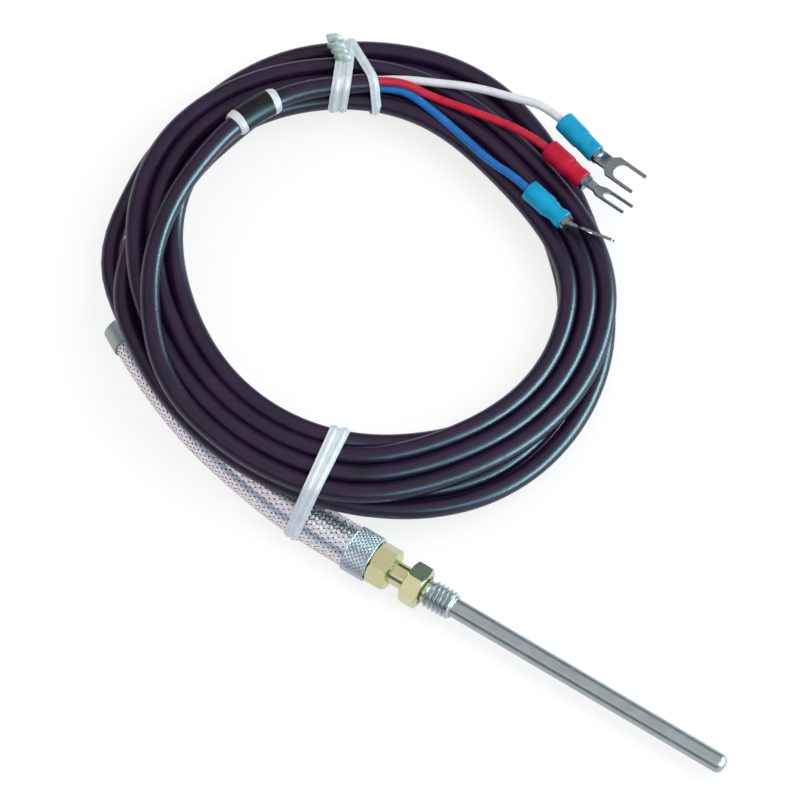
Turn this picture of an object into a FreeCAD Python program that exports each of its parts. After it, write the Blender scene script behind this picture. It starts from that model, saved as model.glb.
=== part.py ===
import FreeCAD, Part

import math
import os

# Resistance thermometer on a coiled lead, lying on a surface.
# +X runs along the probe towards its tip, +Z is up, and the origin is under the middle of the rigid probe.

V = FreeCAD.Vector
X_DIR = V(1, 0, 0)
Z_DIR = V(0, 0, 1)

# Probe
sheath_d = 4.0
sheath_wall = 0.4
tip_round = 1.5
tip_wall = 0.6
insertion_length = 70.0
element_d = 2.8
element_length = 14.0
element_chamfer = 0.3
element_front_gap = 0.5
lead_d = 0.3
lead_length = 4.0
insulator_d = 2.8
insulator_rear_gap = 4.3
conductor_d = 0.6
conductor_circle_d = 1.5
conductor_count = 3
conductor_clearance = 0.04
potting_length = 6.0
potting_clearance = 0.02

# Swivelling mounting screw
thread_d = 6.0
thread_length = 6.9
thread_chamfer = 0.6
thread_relief_d = 4.9
thread_relief_length = 0.8
seat_recess_d = 6.4
seat_recess_depth = 0.3
screw_hex_flats = 8.0
screw_hex_height = 3.9
screw_hex_turn = 3.9
running_clearance = 0.05
counterbore_gap = 0.1

# Hose adapter with its neck, and the snap ring that holds the screw on the neck
adapter_hex_flats = 8.0
adapter_hex_height = 4.5
adapter_hex_turn = 32.9
hex_chamfer_angle = 30.0
hex_face_share = 0.97
neck_d = 5.0
neck_gap = 3.4
neck_insert = 2.0
ring_wire_d = 0.5
ring_gap_angle = 30.0
ring_groove_depth = 0.2
ring_side_clearance = 0.03
braze_gap = 0.03
sheath_seat_length = 3.5
barb_count = 3
barb_depth = 0.25
barb_crest_start = 0.7
barb_crest_end = 0.8
barb_clearance = 0.05

# Armoured hose with its crimped collar and end ferrule
collar_d = 9.8
collar_length = 5.3
collar_round = 0.4
collar_groove_count = 2
collar_groove_depth = 0.12
collar_groove_width = 0.8
hose_d = 9.0
hose_bore_d = 6.0
hose_straight = 8.25
crimp_clearance = 0.03
ferrule_wall = 0.3
ferrule_length = 4.5

# Lead
cable_d = 4.0
cable_entry_clearance = 0.1
wire_d = 1.7
wire_spacing = 1.82
wire_straight = 4.0
wire_fan_start = 5.5

# Coil of the lead, leaning on the hose
coil_long_r = 53.0
coil_short_r = 49.6
coil_direction = -25.0
coil_shift = 0.9
hole_long_r = 39.4
hole_short_r = 35.6
hole_direction = -8.0
hole_shift_x = 1.2
hole_shift_y = 0.6
coil_height = 8.0
coil_round = 3.0
coil_tilt = 6.8
coil_tilt_direction = 255.0
coil_x = -72.5
coil_y = 48.4

# Marker sleeve on the lead's end
marker_d = 5.4
marker_length = 11.0

# Twist ties
tie_width = 1.6
tie_thickness = 0.8
tie_clearance = 0.12
third_slack = 0.25
corner_growth = 1.07
lower_tie_x = -54.7
tail_r = 40.1
tail_lift = 2.25
tail_growth = 1.22
knot_width = 3.2
knot_thickness = 1.6
knot_length = 5.0
knot_steps = 6
knot_twist = 220.0

# Fork terminals
sleeve_d = 4.5
sleeve_front_d = 4.1
sleeve_rear_length = 5.5
sleeve_length = 10.0
sleeve_round = 0.35
sleeve_clearance = 0.05
barrel_d = 3.4
barrel_length = 5.5
barrel_exposed = 0.9
tongue_thickness = 0.8
tongue_length = 10.0
fork_width = 5.5
fork_slot = 3.2
fork_slot_depth = 6.0
fork_neck_width = 3.3
fork_neck_length = 2.2
prong_rounding = 0.4

# Places along the probe
axis_z = collar_d / 2
total_length = collar_length + adapter_hex_height + neck_gap + screw_hex_height + insertion_length
x_rear = -total_length / 2
x_adapter_rear = x_rear + collar_length
x_adapter_front = x_adapter_rear + adapter_hex_height
x_screw_rear = x_adapter_front + neck_gap
x_seat = x_screw_rear + screw_hex_height
x_thread_end = x_seat + thread_length
x_tip = x_seat + insertion_length
x_neck_end = x_screw_rear + neck_insert
x_ring = x_screw_rear + neck_insert / 2
x_sheath_rear = x_neck_end - sheath_seat_length
sheath_bore_d = sheath_d - 2 * sheath_wall
x_element_front = x_tip - tip_wall - element_front_gap
x_element_rear = x_element_front - element_length
x_insulator_front = x_element_rear - lead_length
x_cable_front = x_sheath_rear
x_insulator_rear = x_cable_front + potting_length + insulator_rear_gap

os.makedirs("parts", exist_ok=True)


def save(shape, name):
    shape.exportStep("parts/" + name + ".step")


def turned(profile):
    """Solid turned about the probe's axis from (x, radius) corners."""
    corners = [V(x, 0, axis_z + radius) for x, radius in profile]
    corners.append(corners[0])
    face = Part.Face(Part.makePolygon(corners))
    return face.revolve(V(0, 0, axis_z), X_DIR, 360)


def rod(x_start, x_end, diameter, y=0.0, z=0.0):
    """Round bar along the probe, set off its axis by y and z."""
    return Part.makeCylinder(diameter / 2, x_end - x_start, V(x_start, y, axis_z + z), X_DIR)


def hexagon(x_start, x_end, flats, turn):
    """Hexagon bar along the probe with both ends chamfered at the corners.

    turn is the angle of one corner from straight up, towards -Y.
    """
    corner_r = flats / math.sqrt(3)
    corners = []
    for step in range(7):
        angle = math.radians(turn + 60 * step)
        corners.append(V(x_start, -corner_r * math.sin(angle), axis_z + corner_r * math.cos(angle)))
    bar = Part.Face(Part.makePolygon(corners)).extrude(V(x_end - x_start, 0, 0))
    face_r = flats / 2 * hex_face_share
    slope = (corner_r - face_r) * math.tan(math.radians(hex_chamfer_angle))
    envelope = turned([
        (x_start, 0),
        (x_start, face_r),
        (x_start + slope, corner_r),
        (x_end - slope, corner_r),
        (x_end, face_r),
        (x_end, 0),
    ])
    return bar.common(envelope)


def route(points, name=None):
    """Wire of straight runs joined by tangent arcs, each as large as its two runs allow."""
    edges = []
    start = points[0]
    radii = []
    for before, corner, after in zip(points, points[1:], points[2:]):
        way_in = (corner - before).normalize()
        way_out = (after - corner).normalize()
        turn = way_in.getAngle(way_out)
        tangent = 0.45 * min((corner - before).Length, (after - corner).Length)
        radius = tangent / math.tan(turn / 2)
        radii.append(radius)
        arc_start = corner - way_in * tangent
        arc_end = corner + way_out * tangent
        bisector = (way_out - way_in).normalize()
        centre = corner + bisector * (radius / math.cos(turn / 2))
        arc_middle = centre - bisector * radius
        edges.append(Part.LineSegment(start, arc_start).toShape())
        edges.append(Part.Arc(arc_start, arc_middle, arc_end).toShape())
        start = arc_end
    edges.append(Part.LineSegment(start, points[-1]).toShape())
    if name:
        print(name, "least radius", round(min(radii), 1), "length", round(Part.Wire(edges).Length, 1))
    return Part.Wire(edges)


def tube(points, diameter, name=None):
    """Round bar along a route."""
    path = route(points, name)
    direction = (points[1] - points[0]).normalize()
    section = Part.Face(Part.Wire(Part.makeCircle(diameter / 2, points[0], direction)))
    solid = path.makePipe(section)
    if name:
        expected = math.pi * diameter ** 2 / 4 * path.Length
        print(name, "volume over section times length", round(solid.Volume / expected, 4))
    return solid


# Sheath: drawn tube with a closed, rounded tip
sheath_r = sheath_d / 2
sheath = rod(x_sheath_rear, x_tip, sheath_d)
tip_edges = [edge for edge in sheath.Edges if abs(edge.BoundBox.XMin - x_tip) < 1e-6]
sheath = sheath.makeFillet(tip_round, tip_edges)
sheath = sheath.cut(rod(x_sheath_rear, x_tip - tip_wall, sheath_bore_d))
save(sheath, "sheath_tube")

# Sensing element and its two leads
element = turned([
    (x_element_rear, 0),
    (x_element_rear, element_d / 2 - element_chamfer),
    (x_element_rear + element_chamfer, element_d / 2),
    (x_element_front - element_chamfer, element_d / 2),
    (x_element_front, element_d / 2 - element_chamfer),
    (x_element_front, 0),
])
save(element, "rtd_element")

conductor_places = []
for number in range(conductor_count):
    angle = math.radians(90 + 360 * number / conductor_count)
    conductor_y = conductor_circle_d / 2 * math.cos(angle)
    conductor_z = conductor_circle_d / 2 * math.sin(angle)
    conductor_places.append((conductor_y, conductor_z))

leads = [rod(x_insulator_front, x_element_rear, lead_d, y, z) for y, z in conductor_places[1:]]
save(Part.makeCompound(leads), "element_leads")

# Ceramic insulator, the conductors in its bores and the potting at the sheath's open end
bores = [rod(x_cable_front, x_insulator_front, conductor_d + 2 * conductor_clearance, y, z)
         for y, z in conductor_places]
insulator = rod(x_insulator_rear, x_insulator_front, insulator_d).cut(Part.makeCompound(bores))
save(insulator, "lead_insulator")

conductors = [rod(x_cable_front, x_insulator_front, conductor_d, y, z) for y, z in conductor_places]
save(Part.makeCompound(conductors), "inner_conductors")

potting = rod(x_cable_front, x_cable_front + potting_length, sheath_bore_d - 2 * potting_clearance)
save(potting.cut(Part.makeCompound(bores)), "potting_plug")

# Mounting screw: hollow hexagon screw that turns on the adapter's neck
ring_r = neck_d / 2 + running_clearance / 2
ring_outer_r = ring_r + ring_wire_d / 2 + ring_side_clearance
groove_half = ring_wire_d / 2 + ring_side_clearance
x_recess = x_seat - seat_recess_depth
screw = hexagon(x_screw_rear, x_seat, screw_hex_flats, screw_hex_turn)
screw = screw.cut(rod(x_recess, x_seat, seat_recess_d))
screw = screw.fuse(turned([
    (x_recess, 0),
    (x_recess, thread_relief_d / 2),
    (x_seat + thread_relief_length, thread_relief_d / 2),
    (x_seat + thread_relief_length + (thread_d - thread_relief_d) / 2, thread_d / 2),
    (x_thread_end - thread_chamfer, thread_d / 2),
    (x_thread_end, thread_d / 2 - thread_chamfer),
    (x_thread_end, 0),
]))
screw = screw.cut(turned([
    (x_screw_rear, 0),
    (x_screw_rear, neck_d / 2 + running_clearance),
    (x_ring - groove_half, neck_d / 2 + running_clearance),
    (x_ring - groove_half, ring_outer_r),
    (x_ring + groove_half, ring_outer_r),
    (x_ring + groove_half, neck_d / 2 + running_clearance),
    (x_neck_end + counterbore_gap, neck_d / 2 + running_clearance),
    (x_neck_end + counterbore_gap, sheath_r + running_clearance),
    (x_thread_end, sheath_r + running_clearance),
    (x_thread_end, 0),
]))
save(screw.removeSplitter(), "mounting_screw")

# Snap ring in the neck's groove
ring_centre = V(x_ring, 0, axis_z + ring_r)
ring_section = Part.Face(Part.Wire(Part.makeCircle(ring_wire_d / 2, ring_centre, V(0, 1, 0))))
snap_ring = ring_section.revolve(V(0, 0, axis_z), X_DIR, 360 - ring_gap_angle)
save(snap_ring, "snap_ring")

# Hose adapter: neck, hexagon and barbed spigot in one turned piece
spigot_r = hose_bore_d / 2 - barb_clearance
barb_pitch = collar_length / barb_count
spigot_profile = [(x_rear, 0)]
for number in range(barb_count):
    barb_x = x_rear + barb_pitch * number
    spigot_profile.append((barb_x, spigot_r - barb_depth))
    spigot_profile.append((barb_x + barb_pitch * barb_crest_start, spigot_r))
    spigot_profile.append((barb_x + barb_pitch * barb_crest_end, spigot_r))
    spigot_profile.append((barb_x + barb_pitch, spigot_r - barb_depth))
spigot_profile.append((x_adapter_rear, 0))
adapter = hexagon(x_adapter_rear, x_adapter_front, adapter_hex_flats, adapter_hex_turn)
adapter = adapter.fuse([turned(spigot_profile), rod(x_adapter_front, x_neck_end, neck_d)])
neck_groove = turned([
    (x_ring - groove_half, neck_d / 2 - ring_groove_depth - ring_side_clearance),
    (x_ring - groove_half, neck_d),
    (x_ring + groove_half, neck_d),
    (x_ring + groove_half, neck_d / 2 - ring_groove_depth - ring_side_clearance),
])
cable_way = rod(x_rear, x_sheath_rear, cable_d + 2 * cable_entry_clearance)
sheath_way = rod(x_sheath_rear, x_neck_end, sheath_d + 2 * braze_gap)
adapter = adapter.cut([neck_groove, cable_way, sheath_way])
save(adapter.removeSplitter(), "hose_adapter")

# Crimped collar over the hose's front end
collar_bore_r = hose_d / 2 + crimp_clearance
collar = rod(x_rear, x_adapter_rear, collar_d)
collar = collar.makeFillet(collar_round, [edge for edge in collar.Edges if edge.BoundBox.XLength < 1e-6])
collar = collar.cut(rod(x_rear, x_adapter_rear, 2 * collar_bore_r))
groove_pitch = collar_length / (collar_groove_count + 1)
for number in range(collar_groove_count):
    groove_x = x_rear + groove_pitch * (number + 1)
    collar = collar.cut(turned([
        (groove_x - collar_groove_width / 2, collar_d / 2),
        (groove_x, collar_d / 2 - collar_groove_depth),
        (groove_x + collar_groove_width / 2, collar_d / 2),
        (groove_x, collar_d / 2 + collar_groove_depth),
    ]))
save(collar, "hose_collar")

# Hose: lies on the surface and bends round under the coil
hose_points = [
    V(x_adapter_rear, 0, axis_z),
    V(x_adapter_rear - hose_straight, 0, axis_z),
    V(-62.5, 0.2, 5.95),
    V(-90.5, 6.5, 5.6),
    V(-107.6, 16.4, 4.9),
]
hose = tube(hose_points, hose_d, "hose").cut(tube(hose_points, hose_bore_d))
save(hose, "armour_hose")

# Ferrule crimped on the hose's free end
hose_end = hose_points[-1]
hose_way = (hose_points[-1] - hose_points[-2]).normalize()
ferrule_inner_r = hose_d / 2 + crimp_clearance
ferrule_start = hose_end - hose_way * ferrule_length
ferrule = Part.makeCylinder(ferrule_inner_r + ferrule_wall, ferrule_length, ferrule_start, hose_way)
ferrule = ferrule.cut(Part.makeCylinder(ferrule_inner_r, ferrule_length, ferrule_start, hose_way))
save(ferrule, "hose_ferrule")

# Coil: the outer shape of the wound turns, a loose oval ring whose hole is an oval of its own
coil_centre = V(coil_shift, 0, 0)
hole_centre = V(hole_shift_x, hole_shift_y, 0)


def oval_place(centre, long_r, short_r, direction, angle):
    """Place on an oval, at an angle counted from +X."""
    turn = math.radians(angle - direction)
    place = V(long_r * math.cos(turn), short_r * math.sin(turn), 0)
    return centre + FreeCAD.Rotation(Z_DIR, direction).multVec(place)


def oval_prism(centre, long_r, short_r, direction):
    """Upright prism on an oval, as high as the coil and level with its middle."""
    low = centre - V(0, 0, coil_height / 2)
    long_end = oval_place(low, long_r, short_r, direction, direction)
    short_end = oval_place(low, long_r, short_r, direction, direction + 90)
    near_end, far_end = sorted([long_end, short_end], key=low.distanceToPoint)
    curve = Part.Ellipse(far_end, near_end, low)
    return Part.Face(Part.Wire(curve.toShape())).extrude(V(0, 0, coil_height))


coil = oval_prism(coil_centre, coil_long_r, coil_short_r, coil_direction)
coil = coil.cut(oval_prism(hole_centre, hole_long_r, hole_short_r, hole_direction))
coil = coil.makeFillet(coil_round, [edge for edge in coil.Edges if edge.BoundBox.ZLength < 1e-6])

# The coil leans on the hose and touches the surface on its far side
tilt_way = V(math.cos(math.radians(coil_tilt_direction)), math.sin(math.radians(coil_tilt_direction)), 0)
coil_turn = FreeCAD.Rotation(tilt_way.cross(Z_DIR), coil_tilt)
coil.Placement = FreeCAD.Placement(V(0, 0, 0), coil_turn)
coil_z = -coil.optimalBoundingBox(False).ZMin
coil_place = FreeCAD.Placement(V(coil_x, coil_y, coil_z), coil_turn)
coil.Placement = coil_place
save(coil, "cable_coil")


def on_coil(angle, radius, lift):
    """Place over the coil's upper face: angle and radius about its middle, lift above the face."""
    turn = math.radians(angle)
    return coil_place.multVec(V(radius * math.cos(turn), radius * math.sin(turn), coil_height / 2 + lift))


# Lead from the adapter through the hose and up into the coil
lead_points = [V(x_cable_front, 0, axis_z)] + hose_points[1:] + [
    V(-115.5, 28.3, 7.6),
    V(-117.6, 40.4, 10.2),
    V(-116.0, 52.0, 11.0),
]
lead = tube(lead_points, cable_d, "lead").cut(coil)
save(max(lead.Solids, key=lambda solid: solid.Volume), "cable_lead")

# Tail: the lead's last stretch, out of the coil and over its upper face
tail_points = [
    on_coil(236, 43.5, -2.2),
    on_coil(222, 42.6, 0.2),
    on_coil(208, 41.4, 2.2),
    on_coil(193, 39.8, 2.5),
    on_coil(178, 38.6, 2.8),
    on_coil(163, 38.6, 2.9),
    on_coil(148, 39.4, 2.9),
    on_coil(133, 40.3, 2.3),
    on_coil(119, 40.8, 2.1),
]
tail_whole = tube(tail_points, cable_d, "tail")
tail = max(tail_whole.cut(coil).Solids, key=lambda solid: solid.Volume)
save(tail, "cable_tail")

# Marker sleeve round the tail
marker_middle = (tail_points[5] + tail_points[6]) * 0.5
marker_way = (tail_points[6] - tail_points[5]).normalize()
marker_start = marker_middle - marker_way * (marker_length / 2)
marker = Part.makeCylinder(marker_d / 2, marker_length, marker_start, marker_way).cut(tail_whole)
save(max(marker.Solids, key=lambda solid: solid.Volume), "marker_sleeve")


def terminal(rear, sleeve_way, tongue_way, roll):
    """Insulating sleeve and fork of a crimp terminal.

    rear is the middle of the sleeve's wire end, the fork's tongue leaves the sleeve along tongue_way,
    and roll turns the tongue about its own length.
    """
    sleeve_way = V(sleeve_way).normalize()
    tongue_way = V(tongue_way).normalize()
    r_rear = sleeve_d / 2
    r_front = sleeve_front_d / 2
    step = sleeve_rear_length + (r_rear - r_front)
    profile = [
        V(0, 0, 0),
        V(r_rear, 0, 0),
        V(r_rear, 0, sleeve_rear_length),
        V(r_front, 0, step),
        V(r_front, 0, sleeve_length),
        V(0, 0, sleeve_length),
        V(0, 0, 0),
    ]
    sleeve = Part.Face(Part.makePolygon(profile)).revolve(V(0, 0, 0), Z_DIR, 360)
    flat_edges = [edge for edge in sleeve.Edges if edge.BoundBox.ZLength < 1e-6]
    end_edges = [edge for edge in flat_edges if edge.BoundBox.ZMin < 1e-6]
    end_edges += [edge for edge in flat_edges if edge.BoundBox.ZMin > sleeve_length - 1e-6]
    sleeve = sleeve.makeFillet(sleeve_round, end_edges)
    barrel_start = sleeve_length - barrel_length
    wire_hole = Part.makeCylinder(wire_d / 2 + sleeve_clearance, sleeve_length)
    barrel_hole = Part.makeCylinder(barrel_d / 2 + sleeve_clearance, barrel_length, V(0, 0, barrel_start))
    sleeve = sleeve.cut([wire_hole, barrel_hole])
    sleeve.Placement = FreeCAD.Placement(rear, FreeCAD.Rotation(Z_DIR, sleeve_way))

    front = rear + sleeve_way * (sleeve_length + barrel_exposed)
    barrel_reach = barrel_length + barrel_exposed
    barrel = Part.makeCylinder(barrel_d / 2, barrel_reach, rear + sleeve_way * barrel_start, sleeve_way)
    head_half = fork_width / 2
    neck_half = fork_neck_width / 2
    shoulder_x = fork_neck_length + head_half - neck_half
    outline = [
        V(-barrel_exposed / 2, -neck_half, 0),
        V(fork_neck_length, -neck_half, 0),
        V(shoulder_x, -head_half, 0),
        V(tongue_length, -head_half, 0),
        V(tongue_length, head_half, 0),
        V(shoulder_x, head_half, 0),
        V(fork_neck_length, neck_half, 0),
        V(-barrel_exposed / 2, neck_half, 0),
        V(-barrel_exposed / 2, -neck_half, 0),
    ]
    tongue = Part.Face(Part.makePolygon(outline)).extrude(V(0, 0, tongue_thickness))
    slot_r = fork_slot / 2
    slot_x = tongue_length - fork_slot_depth + slot_r
    slot_height = 3 * tongue_thickness
    slot = Part.makeBox(fork_slot_depth, fork_slot, slot_height, V(slot_x, -slot_r, -tongue_thickness))
    slot = slot.fuse(Part.makeCylinder(slot_r, slot_height, V(slot_x, 0, -tongue_thickness)))
    tongue = tongue.cut(slot)
    prong_width = (fork_width - fork_slot) / 2
    upright_edges = [edge for edge in tongue.Edges if edge.BoundBox.ZLength > tongue_thickness / 2]
    tip_edges = [edge for edge in upright_edges if edge.BoundBox.XMin > tongue_length - 1e-3]
    tongue = tongue.makeFillet(prong_width * prong_rounding, tip_edges)
    tongue.translate(V(0, 0, -tongue_thickness / 2))
    side = Z_DIR.cross(tongue_way).normalize()
    upward = tongue_way.cross(side)
    turn = FreeCAD.Rotation(tongue_way, side, upward, "XZY")
    turn = FreeCAD.Rotation(tongue_way, roll).multiply(turn)
    tongue.Placement = FreeCAD.Placement(front, turn)
    fork = barrel.fuse(tongue).removeSplitter()
    return sleeve, fork


def wire_end(rear, sleeve_way):
    """Last two points of a wire: before its sleeve, and at the barrel inside the sleeve."""
    way = V(sleeve_way).normalize()
    return [rear - way * wire_straight, rear + way * (sleeve_length - barrel_length)]


# Wires out of the tail's end, laid over the coil to their terminals
tail_end = tail_points[-1]
tail_way = (tail_points[-1] - tail_points[-2]).normalize()
wire_side = Z_DIR.cross(tail_way).normalize()
wire_up = tail_way.cross(wire_side)
wire_r = wire_spacing / math.sqrt(3)


def wire_start(angle):
    """First two points of a wire, at its place in the tail's end face and just ahead of it."""
    turn = math.radians(angle)
    start = tail_end + wire_side * (wire_r * math.cos(turn)) + wire_up * (wire_r * math.sin(turn))
    return [start, start + tail_way * wire_fan_start]


white_rear = V(-56.3, 99.9, 7.6)
white_way = V(9.9, -2.9, 0)
white_points = wire_start(-30) + [
    on_coil(104, 44.4, 0.95),
    on_coil(93, 47.4, 1.1),
    on_coil(84, 50.0, 1.1),
] + wire_end(white_rear, white_way)

red_rear = on_coil(68, 46.6, 2.4)
red_way = on_coil(57, 49.0, 2.5) - red_rear
red_points = wire_start(90) + [
    on_coil(103, 41.1, 1.4),
    on_coil(88, 42.7, 1.1),
] + wire_end(red_rear, red_way)

blue_rear = on_coil(60, 38.2, 2.4)
blue_way = on_coil(46, 42.6, 2.75) - blue_rear
blue_points = wire_start(210) + [
    on_coil(102, 37.9, 0.95),
    on_coil(90, 36.3, 1.1),
    on_coil(76, 35.9, 1.6),
] + wire_end(blue_rear, blue_way)

save(tube(white_points, wire_d, "white wire"), "wire_white")
save(tube(red_points, wire_d, "red wire"), "wire_red")
save(tube(blue_points, wire_d, "blue wire"), "wire_blue")

white_sleeve, white_fork = terminal(white_rear, white_way, V(9.8, -0.9, 0), -14)
red_sleeve, red_fork = terminal(red_rear, red_way, V(9.2, -0.6, 0), -46)
blue_sleeve, blue_fork = terminal(blue_rear, blue_way, V(8.2, 1.4, 0), -70)
save(white_sleeve, "terminal_sleeve_white")
save(white_fork, "terminal_fork_white")
save(red_sleeve, "terminal_sleeve_red")
save(red_fork, "terminal_fork_red")
save(blue_sleeve, "terminal_sleeve_blue")
save(blue_fork, "terminal_fork_blue")


def tangent_way(first, second):
    """Outward unit normal of the straight run from one circle of a band to the next."""
    along = second[0] - first[0]
    share = (first[1] - second[1]) / along.Length
    along.normalize()
    return along * share + V(along.y, -along.x, 0) * math.sqrt(1 - share ** 2)


def belt(rounds, place, way_across, way_up, width, slack=0.0):
    """Flat band of a tie stretched round a row of circles, given as (across, up, radius).

    slack is how far the band stands off them beyond its clearance.
    """
    inside_grow = tie_clearance + slack
    def outline(grow):
        circles = [(V(across, up, 0), radius + grow) for across, up, radius in rounds]
        ways = [tangent_way(one, other) for one, other in zip(circles, circles[1:] + circles[:1])]
        edges = []
        for number, (centre, radius) in enumerate(circles):
            way_in = ways[number - 1]
            way_out = ways[number]
            way_between = (way_in + way_out).normalize()
            arc_start = centre + way_in * radius
            arc_end = centre + way_out * radius
            edges.append(Part.Arc(arc_start, centre + way_between * radius, arc_end).toShape())
            next_centre, next_radius = circles[(number + 1) % len(circles)]
            edges.append(Part.LineSegment(arc_end, next_centre + way_out * next_radius).toShape())
        return Part.Wire(edges)

    outside = Part.Face(outline(inside_grow + tie_thickness)).extrude(V(0, 0, width))
    band = outside.cut(Part.Face(outline(inside_grow)).extrude(V(0, 0, width)))
    frame = FreeCAD.Matrix()
    way_along = way_across.cross(way_up)
    frame.A11, frame.A21, frame.A31 = way_across.x, way_across.y, way_across.z
    frame.A12, frame.A22, frame.A32 = way_up.x, way_up.y, way_up.z
    frame.A13, frame.A23, frame.A33 = way_along.x, way_along.y, way_along.z
    band.Placement = FreeCAD.Placement(place - way_along * (width / 2), FreeCAD.Rotation(frame))
    return band


def coil_corner(place, way_across, way_up, near_angle, outside, level, width):
    """Centre of one rounded corner of the coil's section in a plane across the coil.

    Where the coil's wall runs askew to the plane, the corner moves out by what the band's width needs.
    """
    normal = way_across.cross(way_up)

    def at(angle):
        if outside:
            long_r = coil_long_r - coil_round
            short_r = coil_short_r - coil_round
            local = oval_place(coil_centre, long_r, short_r, coil_direction, angle)
        else:
            long_r = hole_long_r + coil_round
            short_r = hole_short_r + coil_round
            local = oval_place(hole_centre, long_r, short_r, hole_direction, angle)
        return coil_place.multVec(local + V(0, 0, level))

    low = near_angle - 25
    high = near_angle + 25
    low_side = (at(low) - place).dot(normal)
    for _ in range(60):
        between = (low + high) / 2
        if ((at(between) - place).dot(normal) > 0) == (low_side > 0):
            low = between
        else:
            high = between
    found = at(between) - place
    wall_way = at(between + 0.1) - at(between - 0.1)
    room = width / 2 * abs(wall_way.dot(way_across) / wall_way.dot(normal))
    across = found.dot(way_across) + (room if outside else -room)
    return across, found.dot(way_up), coil_round * corner_growth


def coil_section(place, way_across, way_up, near_angle, width):
    """The coil's four corners in that plane: outer top, outer low, inner top, inner low."""
    level = coil_height / 2 - coil_round
    corners = []
    for outside in (True, False):
        for side in (1, -1):
            corners.append(coil_corner(place, way_across, way_up, near_angle, outside, side * level, width))
    return corners


def flat(corners):
    """Flat face through a ring of corners."""
    return Part.Face(Part.makePolygon(corners + corners[:1]))


def knot(start, way, up):
    """Twisted ends of a tie: a flat bar turned about its own length, with folded sides."""
    side = way.cross(up).normalize()
    up = side.cross(way).normalize()
    sections = []
    for number in range(knot_steps + 1):
        share = number / knot_steps
        turn = math.radians(knot_twist * share)
        wide = (side * math.cos(turn) + up * math.sin(turn)) * (knot_width / 2)
        thin = (up * math.cos(turn) - side * math.sin(turn)) * (knot_thickness / 2)
        middle = start + way * (knot_length * share) + up * (knot_thickness / 2)
        upper_edge = [middle + wide + thin, middle - wide + thin]
        lower_edge = [middle - wide - thin, middle + wide - thin]
        sections.append(upper_edge + lower_edge)
    faces = [flat(sections[0]), flat(sections[-1])]
    for near, far in zip(sections, sections[1:]):
        for corner in range(4):
            faces.append(flat([near[corner], near[corner - 1], far[corner - 1]]))
            faces.append(flat([near[corner], far[corner - 1], far[corner]]))
    bar = Part.Solid(Part.Shell(faces))
    return bar if bar.Volume > 0 else bar.reversed()


# Lower tie: the strip wound twice round the coil and the hose, its twisted ends under the coil
lower_place = V(lower_tie_x, 0, 0)
lower_across = V(0, -1, 0)
lower_width = 2 * tie_width
outer_top, outer_low, inner_top, inner_low = coil_section(lower_place, lower_across, Z_DIR, 290, lower_width)
hose_share = (hose_points[1].x - lower_tie_x) / (hose_points[1].x - hose_points[2].x)
hose_z = hose_points[1].z + (hose_points[2].z - hose_points[1].z) * hose_share
hose_round = (0.0, hose_z, hose_d / 2)
lower_rounds = [inner_low, hose_round, outer_top, inner_top]
lower_band = belt(lower_rounds, lower_place, lower_across, Z_DIR, lower_width)
run_start = (V(inner_low[0], inner_low[1], 0), inner_low[2] + tie_clearance + tie_thickness / 2)
run_end = (V(hose_round[0], hose_round[1], 0), hose_round[2] + tie_clearance + tie_thickness / 2)
run_way = tangent_way(run_start, run_end)
run_middle = (run_start[0] + run_way * run_start[1] + run_end[0] + run_way * run_end[1]) * 0.5
lower_knot_start = lower_place + lower_across * run_middle.x + Z_DIR * run_middle.y
lower_knot = knot(lower_knot_start, X_DIR, lower_across * run_way.x + Z_DIR * run_way.y)
save(lower_band.fuse(lower_knot).removeSplitter(), "lower_tie")

# Upper tie: two turns side by side, a third that spreads away from them, and the twisted ends
coil_up = coil_turn.multVec(Z_DIR)


def upper_band(angle_outer, angle_inner, width, slack=0.0):
    """Band of the upper tie, round the coil and the tail on it."""
    outer = on_coil(angle_outer, coil_short_r, 0)
    place = on_coil(angle_inner, hole_short_r, 0)
    across = (outer - place).normalize()
    angle = (angle_outer + angle_inner) / 2
    outer_top, outer_low, inner_top, inner_low = coil_section(place, across, coil_up, angle, width)
    tail_share = (tail_r - hole_short_r) / (coil_short_r - hole_short_r)
    tail_angle = angle_inner + (angle_outer - angle_inner) * tail_share
    tail_place = on_coil(tail_angle, tail_r, tail_lift) - place
    tail_round = (tail_place.dot(across), tail_place.dot(coil_up), cable_d / 2 * tail_growth)
    rounds = [inner_low, outer_low, outer_top, tail_round, inner_top]
    return belt(rounds, place, across, coil_up, width, slack)


pair_band = upper_band(125.5, 131.0, 2 * tie_width)
third_band = upper_band(122.8, 117.5, tie_width, third_slack)
upper_knot_start = on_coil(126.5, 46.5, tie_thickness + tie_clearance)
upper_knot_end = on_coil(129.0, 51.0, tie_thickness + tie_clearance)
upper_knot = knot(upper_knot_start, (upper_knot_end - upper_knot_start).normalize(), coil_up)
save(pair_band.fuse([third_band, upper_knot]).removeSplitter(), "upper_tie")
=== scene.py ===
import math

import bmesh
import bpy
from mathutils import Matrix, Vector


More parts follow.
